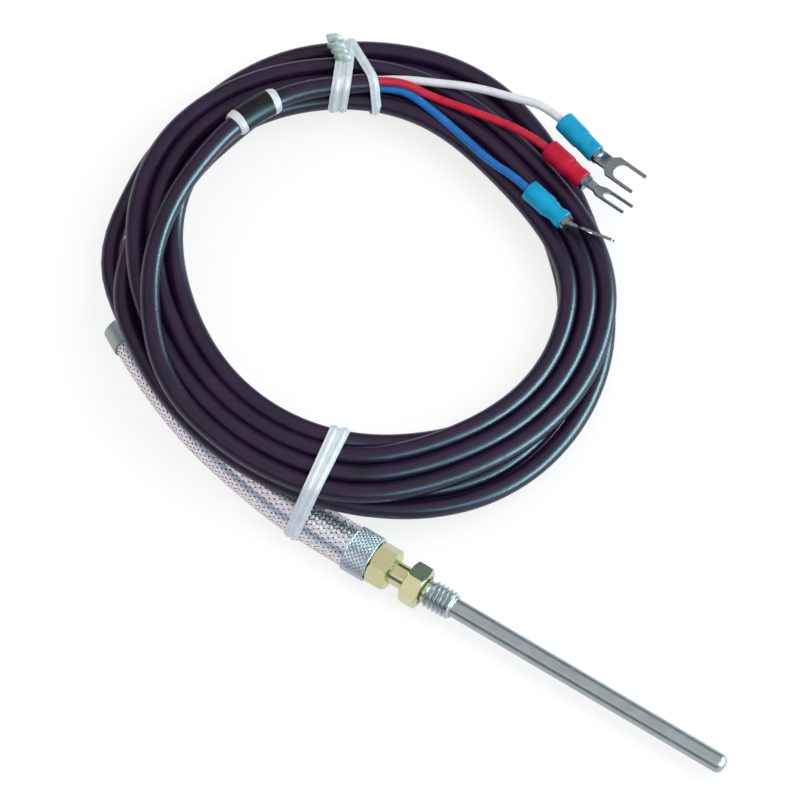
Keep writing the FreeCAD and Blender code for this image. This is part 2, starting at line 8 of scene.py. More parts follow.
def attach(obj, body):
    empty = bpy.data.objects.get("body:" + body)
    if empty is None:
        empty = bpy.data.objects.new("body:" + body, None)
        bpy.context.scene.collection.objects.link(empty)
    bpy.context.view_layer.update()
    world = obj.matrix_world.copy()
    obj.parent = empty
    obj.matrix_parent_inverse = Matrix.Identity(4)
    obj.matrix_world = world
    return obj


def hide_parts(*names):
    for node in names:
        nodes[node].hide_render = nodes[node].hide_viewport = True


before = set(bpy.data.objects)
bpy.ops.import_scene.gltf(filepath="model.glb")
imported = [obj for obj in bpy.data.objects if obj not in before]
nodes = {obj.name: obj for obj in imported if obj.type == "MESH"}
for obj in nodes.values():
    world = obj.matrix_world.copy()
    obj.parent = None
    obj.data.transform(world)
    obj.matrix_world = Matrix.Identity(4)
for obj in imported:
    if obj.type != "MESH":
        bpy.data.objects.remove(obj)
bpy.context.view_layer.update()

# The probe lies along X with its tip at +X, the lead's coil leans on the hose, and the surface is at z = 0.
# Lengths are given in millimetres and angles in degrees, and mm() turns a place into metres.

MM = 0.001


def mm(x, y, z):
    """Place given in millimetres, as a vector in metres."""
    return Vector((x, y, z)) * MM


def ease(share):
    """Smooth step from 0 to 1."""
    share = min(max(share, 0.0), 1.0)
    return share * share * (3 - 2 * share)


# Looks

class Value:
    """A socket in a look's node tree that takes shader maths."""

    def __init__(self, look, socket):
        self.look = look
        self.socket = socket

    def __add__(self, other):
        return self.look.maths("ADD", self, other)

    def __radd__(self, other):
        return self.look.maths("ADD", other, self)

    def __sub__(self, other):
        return self.look.maths("SUBTRACT", self, other)

    def __mul__(self, other):
        return self.look.maths("MULTIPLY", self, other)

    def __rmul__(self, other):
        return self.look.maths("MULTIPLY", other, self)

    def __truediv__(self, other):
        return self.look.maths("DIVIDE", self, other)

    def between(self, low, high):
        """0 below low, 1 above high and a straight rise between."""
        rise = (self - low) / (high - low)
        return self.look.maths("MAXIMUM", self.look.maths("MINIMUM", rise, 1.0), 0.0)


class Nodes:
    """A node tree and the ways in which its nodes are added."""

    def __init__(self, tree):
        self.tree = tree

    def node(self, kind, settings, sockets):
        """New node of one kind: its settings first, then the values or links of its sockets."""
        made = self.tree.nodes.new(kind)
        for name, value in settings.items():
            setattr(made, name, value)
        for name, value in sockets.items():
            if isinstance(value, Value):
                self.tree.links.new(value.socket, made.inputs[name])
            else:
                made.inputs[name].default_value = value
        return made

    def maths(self, operation, *values):
        """Math node on numbers and values."""
        sockets = dict(enumerate(values))
        return Value(self, self.node("ShaderNodeMath", {"operation": operation}, sockets).outputs[0])

    def blend(self, share, one, other):
        """Colour between one and other by share."""
        sockets = {0: share, 6: (*one, 1), 7: (*other, 1)}
        return Value(self, self.node("ShaderNodeMix", {"data_type": "RGBA"}, sockets).outputs[2])


class Look(Nodes):
    """A procedural material with one principled shader."""

    def __init__(self, name, **constants):
        self.material = bpy.data.materials.new(name)
        self.material.use_nodes = True
        super().__init__(self.material.node_tree)
        self.shader = self.tree.nodes["Principled BSDF"]
        for socket, value in constants.items():
            self.shader.inputs[socket.replace("_", " ")].default_value = value

    def place(self, stretch):
        """Object coordinates in millimetres, each axis multiplied by stretch."""
        coordinates = Value(self, self.node("ShaderNodeTexCoord", {}, {}).outputs["Object"])
        sockets = {"Vector": coordinates, "Scale": [part / MM for part in stretch]}
        return Value(self, self.node("ShaderNodeMapping", {}, sockets).outputs[0])

    def noise(self, scale, stretch=(1, 1, 1), detail=3.0):
        """Cloudy noise from 0 to 1, with about scale clouds to the millimetre."""
        sockets = {"Vector": self.place(stretch), "Scale": scale, "Detail": detail, "Roughness": 0.55}
        return Value(self, self.node("ShaderNodeTexNoise", {}, sockets).outputs["Fac"])

    def bump(self, height, strength, distance):
        """Normal of a surface raised by height, with distance in millimetres."""
        sockets = {"Height": height, "Strength": strength, "Distance": distance * MM}
        return Value(self, self.node("ShaderNodeBump", {}, sockets).outputs["Normal"])

    def use(self, **sockets):
        """Links values to the shader's sockets and gives the material."""
        for name, value in sockets.items():
            self.tree.links.new(value.socket, self.shader.inputs[name.replace("_", " ")])
        return self.material


def jacket_look():
    """Dark soft plastic of the lead's jacket, with handling marks and a slow ripple."""
    look = Look("lead_jacket", Specular_IOR_Level=0.32)
    cloud = look.noise(0.12, detail=4.0)
    grain = look.noise(2.2, detail=2.0)
    ripple = look.noise(0.5, detail=2.0)
    colour = look.blend(cloud.between(0.3, 0.75), (0.011, 0.003, 0.018), (0.025, 0.007, 0.041))
    rough = 0.27 + 0.08 * cloud + 0.06 * grain
    return look.use(Base_Color=colour, Roughness=rough, Normal=look.bump(ripple, 0.3, 0.15))


def wire_look(name, dark, light):
    """Coloured insulation of one wire."""
    look = Look(name, Specular_IOR_Level=0.22)
    cloud = look.noise(0.35, detail=3.0)
    grain = look.noise(4.0, detail=2.0)
    colour = look.blend(cloud.between(0.3, 0.7), dark, light)
    return look.use(Base_Color=colour, Roughness=0.3 + 0.15 * cloud, Normal=look.bump(grain, 0.1, 0.06))


def metal_look(name, dark, light, roughness, stretch):
    """Bare metal with fine marks drawn out along one way."""
    look = Look(name, Metallic=1.0)
    lines = look.noise(3.0, stretch, detail=4.0)
    cloud = look.noise(0.25, detail=3.0)
    colour = look.blend((lines * 0.6 + cloud * 0.4).between(0.3, 0.7), dark, light)
    rough = roughness + 0.105 * (lines - 0.5) + 0.12 * (cloud - 0.5)
    return look.use(Base_Color=colour, Roughness=rough, Normal=look.bump(lines, 0.12, 0.05))


def plain_look(name, dark, light, roughness, scale=0.6, specular=0.5):
    """Dull, slightly mottled stuff."""
    look = Look(name, Specular_IOR_Level=specular)
    cloud = look.noise(scale, detail=4.0)
    grain = look.noise(scale * 8, detail=2.0)
    colour = look.blend(cloud.between(0.3, 0.7), dark, light)
    rough = roughness + 0.2 * (grain - 0.5)
    return look.use(Base_Color=colour, Roughness=rough, Normal=look.bump(grain, 0.15, 0.08))


jacket = jacket_look()
white_insulation = wire_look("white_insulation", (0.68, 0.73, 0.75), (0.82, 0.86, 0.88))
red_insulation = wire_look("red_insulation", (0.53, 0.008, 0.032), (0.70, 0.016, 0.056))
blue_insulation = wire_look("blue_insulation", (0.008, 0.13, 0.43), (0.018, 0.20, 0.58))
blue_sleeve = wire_look("blue_sleeve", (0.001, 0.31, 0.55), (0.003, 0.40, 0.67))
red_sleeve = wire_look("red_sleeve", (0.46, 0.002, 0.022), (0.58, 0.005, 0.038))
sheath_steel = metal_look("sheath_steel", (0.31, 0.34, 0.33), (0.42, 0.45, 0.44), 0.30, (0.15, 1, 1))
fitting_brass = metal_look("fitting_brass", (0.51, 0.49, 0.28), (0.62, 0.59, 0.36), 0.20, (1, 0.6, 0.6))
thread_nickel = metal_look("thread_nickel", (0.36, 0.37, 0.38), (0.54, 0.54, 0.55), 0.30, (1, 0.6, 0.6))
ferrule_steel = metal_look("ferrule_steel", (0.28, 0.31, 0.31), (0.44, 0.47, 0.47), 0.45, (1, 1, 1))
collar_steel = metal_look("collar_steel", (0.40, 0.38, 0.41), (0.58, 0.55, 0.58), 0.42, (1, 0.4, 0.4))
braid_steel = metal_look("braid_steel", (0.62, 0.56, 0.59), (0.96, 0.88, 0.91), 0.36, (1, 1, 1))
# The hose's core is painted near black to stand in for the shade in the gaps between the braid's wires.
core_painted_shade = metal_look("core_painted_shade", (0.07, 0.08, 0.10), (0.13, 0.13, 0.16), 0.45, (1, 1, 1))
# The forks' metal is painted darker than bare tinned copper, as painted shade on the thin prongs.
tinned_copper = metal_look("tinned_copper", (0.16, 0.17, 0.18), (0.28, 0.29, 0.30), 0.28, (0.5, 0.5, 1))
spring_steel = metal_look("spring_steel", (0.30, 0.30, 0.31), (0.45, 0.45, 0.46), 0.30, (1, 1, 1))
conductor_copper = metal_look("conductor_copper", (0.62, 0.30, 0.18), (0.75, 0.40, 0.26), 0.30, (0.2, 1, 1))
ceramic = plain_look("ceramic", (0.78, 0.76, 0.70), (0.86, 0.84, 0.79), 0.45)
potting_resin = plain_look("potting_resin", (0.03, 0.03, 0.03), (0.06, 0.055, 0.05), 0.35)
marker_white = plain_look("marker_white", (0.64, 0.67, 0.71), (0.77, 0.80, 0.83), 0.4)
marker_field = plain_look("marker_field", (0.006, 0.004, 0.007), (0.014, 0.010, 0.014), 0.40, specular=0.2)
tie_white = plain_look("tie_white", (0.64, 0.70, 0.74), (0.79, 0.84, 0.87), 0.42)
tie_knot = plain_look("tie_knot", (0.26, 0.38, 0.33), (0.58, 0.70, 0.64), 0.45, 1.2)

cad_looks = {
    "sheath_tube": sheath_steel,
    "rtd_element": ceramic,
    "element_leads": conductor_copper,
    "lead_insulator": ceramic,
    "inner_conductors": conductor_copper,
    "potting_plug": potting_resin,
    "mounting_screw": fitting_brass,
    "snap_ring": spring_steel,
    "hose_adapter": fitting_brass,
    "hose_collar": collar_steel,
    "armour_hose": braid_steel,
    "hose_ferrule": ferrule_steel,
    "cable_coil": jacket,
    "cable_lead": jacket,
    "cable_tail": jacket,
    "marker_sleeve": marker_white,
    "wire_white": white_insulation,
    "wire_red": red_insulation,
    "wire_blue": blue_insulation,
    "terminal_sleeve_white": blue_sleeve,
    "terminal_sleeve_red": red_sleeve,
    "terminal_sleeve_blue": blue_sleeve,
    "terminal_fork_white": tinned_copper,
    "terminal_fork_red": tinned_copper,
    "terminal_fork_blue": tinned_copper,
    "lower_tie": tie_white,
    "upper_tie": tie_white,
}
for name, material in cad_looks.items():
    nodes[name].data.materials.clear()
    nodes[name].data.materials.append(material)


# Pieces

merge_distance = 1e-7
sharp_angle = math.radians(35)


def add_piece(name, data, materials, body="probe"):
    """Object of the model at the origin, on one of the CAD bodies."""
    piece = bpy.data.objects.new(name, data)
    bpy.context.scene.collection.objects.link(piece)
    for material in materials:
        data.materials.append(material)
    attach(piece, body)
    return piece


def add_mesh(name, bm, materials, body="probe"):
    """Piece from a finished bmesh, smooth on its round faces."""
    bmesh.ops.remove_doubles(bm, verts=bm.verts, dist=merge_distance)
    bmesh.ops.recalc_face_normals(bm, faces=bm.faces)
    for face in bm.faces:
        face.smooth = True
    for edge in bm.edges:
        edge.smooth = len(edge.link_faces) == 2 and edge.calc_face_angle(0.0) < sharp_angle
    mesh = bpy.data.meshes.new(name)
    bm.to_mesh(mesh)
    bm.free()
    return add_piece(name, mesh, materials, body)


def add_spline(curve, points):
    """One open NURBS spline along a route."""
    spline = curve.splines.new("NURBS")
    spline.points.add(len(points) - 1)
    for knot, point in zip(spline.points, points):
        knot.co = (*point, 1)
    spline.order_u = 3
    spline.use_endpoint_u = True


def round_curve(name, diameter, steps, roundness):
    """Curve data of a round section, with its ends closed."""
    curve = bpy.data.curves.new(name, "CURVE")
    curve.dimensions = "3D"
    curve.resolution_u = steps
    curve.bevel_depth = diameter / 2
    curve.bevel_resolution = roundness
    curve.use_fill_caps = True
    return curve


def nurbs(name, points, diameter, steps):
    """Curve data of a cord, one open spline along its route."""
    curve = round_curve(name, diameter, steps, 6)
    add_spline(curve, points)
    return curve


def mesh_of(curve):
    """Mesh of a curve, which is removed."""
    holder = bpy.data.objects.new(curve.name, curve)
    mesh = bpy.data.meshes.new_from_object(holder)
    bpy.data.objects.remove(holder)
    bpy.data.curves.remove(curve)
    return mesh


def centreline(points, steps):
    """Places along a cord's own spline, in order."""
    mesh = mesh_of(nurbs("centreline", points, 0.0, steps))
    places = [vertex.co.copy() for vertex in mesh.vertices]
    bpy.data.meshes.remove(mesh)
    return places


def frames_along(line):
    """Frames carried along a line without twist: place, side, up and the way run so far."""
    found = []
    way = (line[1] - line[0]).normalized()
    side = way.cross(Vector((0, 0, 1))).normalized()
    run = 0.0
    for number, place in enumerate(line):
        before = line[max(number - 1, 0)]
        after = line[min(number + 1, len(line) - 1)]
        run += (place - before).length
        new_way = (after - before).normalized()
        side = way.rotation_difference(new_way) @ side
        way = new_way
        side = (side - way * side.dot(way)).normalized()
        found.append((place, side, way.cross(side), run))
    return found


def ring(bm, place, side, up, radius, segments):
    """Edges of a circle in the plane of side and up."""
    matrix = Matrix.Identity(4)
    matrix.col[0].xyz = side
    matrix.col[1].xyz = up
    matrix.col[2].xyz = side.cross(up)
    matrix.translation = place
    made = bmesh.ops.create_circle(bm, segments=segments, radius=radius, matrix=matrix)
    return list({edge for vertex in made["verts"] for edge in vertex.link_edges})


def lathe(bm, profile, place, way, segments):
    """Ring turned about way in an empty bmesh, from (along, radius) corners in millimetres."""
    corners = [bm.verts.new(Vector((radius, 0, along)) * MM) for along, radius in profile]
    edges = [bm.edges.new(pair) for pair in zip(corners, corners[1:] + corners[:1])]
    bmesh.ops.spin(bm, geom=corners + edges, cent=(0, 0, 0), axis=(0, 0, 1), angle=2 * math.pi, steps=segments,
                   use_merge=True)
    verts = bm.verts[:]
    turn = Vector((0, 0, 1)).rotation_difference(way).to_matrix()
    bmesh.ops.rotate(bm, verts=verts, cent=(0, 0, 0), matrix=turn)
    bmesh.ops.translate(bm, verts=verts, vec=place)
    return verts


# Routes of the hose, the lead and the wires

hose_route = [
    mm(-38.25, 0, 4.9),
    mm(-46.5, 0, 4.9),
    mm(-62.5, 0.2, 5.95),
    mm(-90.5, 6.5, 5.6),
    mm(-107.6, 16.4, 4.9),
]

coil_lean = math.radians(6.8)
coil_place = Matrix.Translation(mm(-72.5, 48.4, 9.55))
coil_place = coil_place @ Matrix.Rotation(coil_lean, 4, Vector((-0.9659, 0.2588, 0)))
coil_up = coil_place.to_3x3() @ Vector((0, 0, 1))
cable_d = 4.0
wire_d = 1.7
hose_r = 4.5

# The coil's turns lie in two layers, at this height over and under its middle plane
layer = 2.0
turn_gap = 3.94
rise = 0.35
turn_step = 12
coil_start = 186
coil_wound = 2080

# Where in its turn the cable moves to the loose side and on to the next turn's place: the first degree of the
# move and how many it takes
move_aside = (190, 60)
lower_inner_aside = (145, 62)
lower_inner_rise = (205, 60)
move_on = (322, 32)

# Where the coil's outside and its hole stand out or draw in: by how much, at which angle and over what width
outer_humps = (
    (2.2, 334, 28),
    (3.2, 95, 22),
    (1.5, 122, 34),
    (1.0, 10, 22),
    (0.8, 219, 9),
    (-2.2, 163, 18),
    (-0.3, 45, 14),
    (-0.3, 188, 16),
)
inner_humps = (
    (0.3, 172, 16),
    (1.2, 32, 14),
    (-2.7, 72, 26),
    (-0.5, 138, 26),
    (-1.3, 222, 30),
    (-2.6, 322, 24),
    (-0.35, 336, 12),
    (-0.3, 352, 14),
)


def coil_at(angle, radius, height):
    """Place in the coil: angle and radius about its middle, height over its middle plane."""
    turn = math.radians(angle)
    return coil_place @ mm(radius * math.cos(turn), radius * math.sin(turn), height)


def oval_radius(angle, long_r, short_r, direction, shift_x, shift_y):
    """Radius of an oval at one angle, with its long axis in one direction and its middle shifted."""
    turn = math.radians(angle - direction)
    radius = 1 / math.hypot(math.cos(turn) / long_r, math.sin(turn) / short_r)
    return radius + shift_x * math.cos(math.radians(angle)) + shift_y * math.sin(math.radians(angle))


def with_humps(radius, angle, humps):
    """Radius with the humps that reach one angle of the coil, each falling off to both sides."""
    for height, middle, width in humps:
        away = (angle - middle + 180) % 360 - 180
        radius += height * math.exp(-(away / width) ** 2)
    return radius


def coil_outer(angle):
    """Radius of the coil's outside."""
    return with_humps(oval_radius(angle, 53.0, 49.6, -25, 0.48, 0.68), angle, outer_humps)


def coil_inner(angle):
    """Radius of the coil's hole."""
    return with_humps(oval_radius(angle, 39.4, 35.6, -8, 1.2, 0.6), angle, inner_humps)


def tight_place(number, inner, outer):
    """Radius and height of turns 0 to 5: three from the outside below, three from the inside above."""
    gap = min(turn_gap, (outer - inner) / 2)
    if number < 3:
        return Vector((outer - gap * number, -layer))
    return Vector((inner + gap * (number - 3), layer + rise * (5 - number)))


def loose_place(number, inner, outer):
    """The same for turns 1 to 6 on the loose side: two from the outside below, four from the inside above."""
    gap = min(turn_gap, (outer - inner) / 3)
    if number < 3:
        return Vector((outer - gap * (number - 1), -layer))
    return Vector((inner + gap * (number - 3), layer + 0.75 * rise * (6 - number)))


def passage(part, span):
    """Share of a span that is done after part of a turn."""
    first, length = span
    return ease((part - first) / length)


def turn_place(wound):
    """Place of the cable in the coil after so many degrees of winding.

    Each turn keeps its place until the coil's loose side, where all of them move on by one. The lower inner
    turn comes up there behind the others, and the lower outer ones go in later, before the lead joins them.
    """
    angle = coil_start - wound
    turn, part = divmod(wound, 360)
    outer = coil_outer(angle) - cable_d / 2
    inner = coil_inner(angle) + cable_d / 2
    tight = tight_place(turn, inner, outer)
    loose = loose_place(turn + 1, inner, outer)
    lower_inner_turn = turn == 2
    if lower_inner_turn:
        aside = passage(part, lower_inner_aside)
        raised = passage(part, lower_inner_rise)
    else:
        aside = passage(part, move_aside)
        raised = aside
    place = Vector((tight.x + (loose.x - tight.x) * aside, tight.y + (loose.y - tight.y) * raised))
    last_turn = turn == 5
    if not last_turn:
        place = place.lerp(tight_place(turn + 1, inner, outer), passage(part, move_on))
    wander = 0.07 * math.sin(math.radians(2.3 * wound)) + 0.06 * math.sin(math.radians(3.7 * wound + 50))
    spline_shrink = 1 - (1 - math.cos(math.radians(turn_step))) / 4
    found = coil_at(angle, (place.x + wander) / spline_shrink, place.y + 0.5 * wander)
    found.z = max(found.z, cable_d / 2 * MM)
    return found


lead_route = [mm(-31.85, 0, 4.9)] + hose_route[1:] + [mm(-118.8, 25.8, 7.0)]
coil_route = [turn_place(wound) for wound in range(0, coil_wound, turn_step)]
tail_route = [
    coil_at(256, 47.5, 2.7),
    coil_at(246, 46.9, 4.1),
    coil_at(236, 45.5, 5.4),
    coil_at(222, 43.3, 6.3),
    coil_at(208, 41.4, 6.6),
    coil_at(193, 39.8, 6.8),
    coil_at(178, 38.8, 7.0),
    coil_at(163, 39.4, 7.1),
    coil_at(148, 40.0, 7.0),
    coil_at(133, 40.3, 6.6),
    coil_at(119, 40.8, 6.3),
]
cable_route = lead_route + coil_route + tail_route

white_route = [
    mm(-92.762, 85.256, 11.611),
    mm(-88.492, 88.664, 10.975),
    mm(-83.16, 91.783, 9.868),
    mm(-74.907, 96.012, 9.277),
    mm(-67.207, 98.374, 8.768),
    mm(-60.139, 101.024, 7.6),
    mm(-51.981, 98.635, 7.6),
]
red_route = [
    mm(-92.052, 84.659, 13.176),
    mm(-87.782, 88.067, 12.54),
    mm(-81.646, 88.818, 10.616),
    mm(-70.929, 91.375, 9.689),
    mm(-58.831, 92.913, 10.405),
    mm(-50.544, 91.025, 10.457),
]
blue_route = [
    mm(-91.627, 83.834, 11.611),
    mm(-87.357, 87.242, 10.975),
    mm(-80.9, 86.9, 10.5),
    mm(-72.6, 85.4, 10.5),
    mm(-63.4, 83.1, 10.9),
    mm(-57.169, 82.854, 11.424),
    mm(-48.886, 80.961, 11.664),
]

cable_line = centreline(cable_route, 6)
hose_line = centreline(hose_route, 64)

# The lead from the adapter through the hose, round the coil and over it to its bare end
lead_curve = nurbs("lead_cable", cable_route, cable_d * MM, 5)
lead_cable = add_piece("lead_cable", lead_curve, [jacket])
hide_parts("cable_lead", "cable_coil", "cable_tail")


def wire(name, route, material, node):
    """One of the three wires that leave the lead's end."""
    piece = add_piece(name, nurbs(name, route, wire_d * MM, 12), [material])
    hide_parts(node)
    return piece


white_wire = wire("white_wire", white_route, white_insulation, "wire_white")
red_wire = wire("red_wire", red_route, red_insulation, "wire_red")
blue_wire = wire("blue_wire", blue_route, blue_insulation, "wire_blue")


def braided_hose():
    """Hose of flat steel wires woven over and under each other, round a core painted dark as the shade in the
    gaps between them.
    """
    carriers = 24
    wires_each = 3
    wire_gap = 0.06
    pitch = 42.0
    weave_radius = 4.31
    weave_depth = 0.09
    section = ((-0.12, 0.09), (0.12, 0.09), (0.0, -0.09))
    core_radius = 4.1
    core_segments = 24
    core_step = 6
    frames = frames_along(centreline(hose_route, 56))
    bm = bmesh.new()
    wire_number = bm.faces.layers.int.new("wire_number")
    wires = []
    for lean in (1, -1):
        for carrier in range(carriers):
            for strand in range(wires_each):
                face = bm.faces.new([bm.verts.new() for corner in section])
                face[wire_number] = len(wires)
                wires.append((lean, 2 * math.pi * carrier / carriers + wire_gap * (strand - 1)))
    ends = bm.faces[:]
    for place, side, up, run in frames:
        if run > 0:
            ends = bmesh.ops.extrude_discrete_faces(bm, faces=ends)["faces"]
        turn = 2 * math.pi * run / (pitch * MM)
        for face in ends:
            lean, start = wires[face[wire_number]]
            angle = start + lean * turn
            radius = weave_radius + weave_depth * lean * math.cos(carriers * turn)
            out = side * math.cos(angle) + up * math.sin(angle)
            around = up * math.cos(angle) - side * math.sin(angle)
            for vert, (wide, high) in zip(face.verts, section):
                vert.co = place + (out * (radius + high) + around * wide) * MM
    bmesh.ops.holes_fill(bm, edges=[edge for edge in bm.edges if edge.is_boundary], sides=len(section))
    bm.faces.layers.int.remove(wire_number)
    rings = [ring(bm, *one[:3], core_radius * MM, core_segments) for one in frames[::core_step]]
    for near, far in zip(rings, rings[1:]):
        for face in bmesh.ops.bridge_loops(bm, edges=near + far)["faces"]:
            face.material_index = 1
    for end in (rings[0], rings[-1]):
        for face in bmesh.ops.contextual_create(bm, geom=end)["faces"]:
            face.material_index = 1
    piece = add_mesh("hose_braid", bm, [braid_steel, core_painted_shade])
    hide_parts("armour_hose")
    return piece


hose_braid = braided_hose()


def strands_across(line, place, normal, reach):
    """Places where a line passes through a plane, near one place in it."""
    found = []
    for before, after in zip(line, line[1:]):
        low = (before - place).dot(normal)
        high = (after - place).dot(normal)
        if low * high < 0:
            through = before.lerp(after, low / (low - high))
            if (through - place).length < reach * MM:
                found.append(through)
    return found


# The ties lie this far off the cords
tie_gap = 0.05


def tie_strip(bm, rounds, place, across, up):
    """Strip of a twist tie, a flat band over a wire, stretched round the circles in one plane."""
    steps = 90
    normal = across.cross(up)
    half = [(0.96, 0), (1.0, 0.14), (0.95, 0.28), (0.5, 0.34), (0.3, 0.54)]
    section = [(-wide, high) for wide, high in half] + [(0, 0.62)] + half[::-1]
    loops = []
    for wide, high in section:
        corners = []
        for step in range(steps):
            turn = math.radians(360 / steps * step)
            out = across * math.cos(turn) + up * math.sin(turn)
            centre, radius = max(rounds, key=lambda one: (one[0] - place).dot(out) + one[1])
            corner = centre + out * (radius + (high + tie_gap) * MM)
            corner -= normal * (corner - place).dot(normal)
            corners.append(bm.verts.new(corner + normal * (wide * MM)))
        loops.append([bm.edges.new(pair) for pair in zip(corners, corners[1:] + corners[:1])])
    for near, far in zip(loops, loops[1:] + loops[:1]):
        bmesh.ops.bridge_loops(bm, edges=near + far)


def twisted_ends(bm, start, end, radius, up):
    """The two ends of a tie, twisted round each other and splayed at the tip."""
    steps = 24
    twist_angle = 680
    splay_from = 0.8
    apart, splayed = 0.95, 1.2
    way = (end - start).normalized()
    side = way.cross(up).normalized()
    up = side.cross(way)
    curve = round_curve("twist", 2 * radius * MM, 3, 2)
    for half in (0, 1):
        points = []
        for step in range(steps + 1):
            share = step / steps
            turn = math.radians(180 * half + twist_angle * share)
            splay = max(share - splay_from, 0) / (1 - splay_from)
            spread = radius * (apart + splayed * splay) * MM
            points.append(start.lerp(end, share) + (side * math.cos(turn) + up * math.sin(turn)) * spread)
        add_spline(curve, points)
    mesh = mesh_of(curve)
    for face in mesh.polygons:
        face.material_index = 1
    bm.from_mesh(mesh)
    bpy.data.meshes.remove(mesh)


def rounds_across(line, radius, place, across, up, reach):
    """Circles of a cord where it passes through a tie's plane."""
    normal = across.cross(up)
    return [(through, radius * MM) for through in strands_across(line, place, normal, reach)]


def upper_tie():
    """Tie round the coil and the lead's end: two turns side by side, a third that spreads, and twisted ends."""
    outside, inside, height = 50, 37, 4
    reach = 16
    bm = bmesh.new()
    for angle_outside, angle_inside in ((126.4, 130.7), (124.4, 127.8), (122.8, 117.3)):
        outer = coil_at(angle_outside, outside, height)
        inner = coil_at(angle_inside, inside, height)
        across = (outer - inner).normalized()
        place = (outer + inner) / 2
        rounds = rounds_across(cable_line, cable_d / 2 + tie_gap, place, across, coil_up, reach)
        tie_strip(bm, rounds, place, across, coil_up)
    twisted_ends(bm, coil_at(126.3, 46.2, 5.3), coil_at(128.4, 51.4, 5.0), 0.85, coil_up)
    piece = add_mesh("upper_tie_strip", bm, [tie_white, tie_knot])
    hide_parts("upper_tie")
    return piece


def lower_tie():
    """Tie round the coil and the hose, wound twice, its twisted ends underneath."""
    reach = 18
    bm = bmesh.new()
    for x, lean in ((-57.1, 0.17), (-55.4, 0.13)):
        place = mm(x, 7, 9)
        across = Vector((lean, -1, 0)).normalized()
        up = Vector((0.15, 0, 1))
        up = (up - across * up.dot(across)).normalized()
        rounds = rounds_across(cable_line, cable_d / 2 + tie_gap, place, across, up, reach)
        rounds += rounds_across(hose_line, hose_r, place, across, up, reach)
        tie_strip(bm, rounds, place, across, up)
    twisted_ends(bm, mm(-55.8, 7.8, 4.9), mm(-49.8, 8.4, 3.9), 0.5, Vector((0, 0, 1)))
    piece = add_mesh("lower_tie_strip", bm, [tie_white, tie_knot])
    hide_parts("lower_tie")
    return piece


upper_tie_strip = upper_tie()
lower_tie_strip = lower_tie()


def marker():
    """Bare marker sleeve on the lead's end: a white sleeve with a raised dark field."""
    half_length = 5.5
    steps = 22
    segments = 48
    bore = 1.98
    outside = [2.35, 2.62] + [2.7] * 19 + [2.62, 2.35]
    field_rows = range(3, 19)
    lowest_field = -0.15
    field_edge, field_height = 0.12, 0.06
    last_places = 500
    middle = (coil_at(163, 38.6, 6.9) + coil_at(148, 39.4, 6.9)) / 2
    frames = frames_along(centreline(cable_route, 40)[-last_places:])
    nearest = min(frames, key=lambda one: (one[0] - middle).length)
    part = [one for one in frames if abs(one[3] - nearest[3]) < half_length * MM]
    picked = [part[round(step * (len(part) - 1) / steps)] for step in range(steps + 1)]
    bm = bmesh.new()
    rings = [ring(bm, *one[:3], radius * MM, segments) for one, radius in zip(picked, outside)]
    field = []
    for number, (near, far) in enumerate(zip(rings, rings[1:])):
        for face in bmesh.ops.bridge_loops(bm, edges=near + far)["faces"]:
            out = (face.calc_center_median() - picked[number][0]).normalized()
            if number in field_rows and out.z > lowest_field:
                field.append(face)
    inner_near = ring(bm, *picked[0][:3], bore * MM, segments)
    inner_far = ring(bm, *picked[-1][:3], bore * MM, segments)
    bmesh.ops.bridge_loops(bm, edges=rings[0] + inner_near)
    bmesh.ops.bridge_loops(bm, edges=rings[-1] + inner_far)
    bmesh.ops.bridge_loops(bm, edges=inner_near + inner_far)
    bmesh.ops.recalc_face_normals(bm, faces=bm.faces)
    bmesh.ops.inset_region(bm, faces=field, thickness=field_edge * MM, depth=field_height * MM,
                           use_even_offset=True)
    for face in field:
        face.material_index = 1
    piece = add_mesh("marker", bm, [marker_white, marker_field])
    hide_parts("marker_sleeve")
    return piece


marker_piece = marker()

# The three terminals: the middle of each sleeve's wire end, and the way the sleeve points
red_rear = coil_at(68, 46.6, 6.4)
blue_rear = coil_at(60, 38.2, 6.4)
terminals = {
    "white": (mm(-56.3, 99.9, 7.6), Vector((9.9, -2.9, 0))),
    "red": (red_rear, coil_at(57, 49.0, 6.5) - red_rear),
    "blue": (blue_rear, coil_at(46, 42.6, 6.75) - blue_rear),
}


def crimp_sleeve(colour, material, press):
    """Insulating sleeve of one terminal, with the crimping tool's two marks."""
    rear, way = terminals[colour]
    way = way.normalized()
    wire_r, barrel_r, flare_r, bore = 1.0, 2.05, 2.25, 1.74
    profile = [(0.35, wire_r), (0.0, 1.5), (0.0, 1.95), (0.12, 2.16), (0.38, flare_r), (2.0, flare_r)]
    profile += [(3.6, flare_r), (5.2, flare_r), (5.5, 2.22), (5.75, 2.09), (6.0, barrel_r)]
    profile += [(6.0 + 0.3 * step, barrel_r) for step in range(1, 13)]
    profile += [(9.8, 2.0), (9.97, 1.9), (9.97, bore), (4.6, bore), (4.6, wire_r)]
    outside_from = 1.8
    segments = 48
    # Middle, width and depth of the two marks along the sleeve
    crimps = ((7.6, 0.75, 0.32), (2.8, 0.9, 0.1))
    bm = bmesh.new()
    verts = lathe(bm, profile, rear, way, segments)
    press = (press - way * press.dot(way)).normalized()
    for vert in verts:
        along = (vert.co - rear).dot(way) / MM
        out = vert.co - rear - way * (along * MM)
        if out.length < outside_from * MM:
            continue
        facing = abs(out.normalized().dot(press))
        depth = sum(deep * math.exp(-((along - middle) / width) ** 2) for middle, width, deep in crimps)
        vert.co -= out.normalized() * (depth * facing ** 4 * MM)
    piece = add_mesh("sleeve_" + colour, bm, [material])
    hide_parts("terminal_sleeve_" + colour)
    return piece


sleeves = {
    "white": crimp_sleeve("white", blue_sleeve, Vector((0.1, 0.3, 1))),
    "red": crimp_sleeve("red", red_sleeve, Vector((0, 0.7, 0.7))),
    "blue": crimp_sleeve("blue", blue_sleeve, Vector((0, 0.9, 0.4))),
}


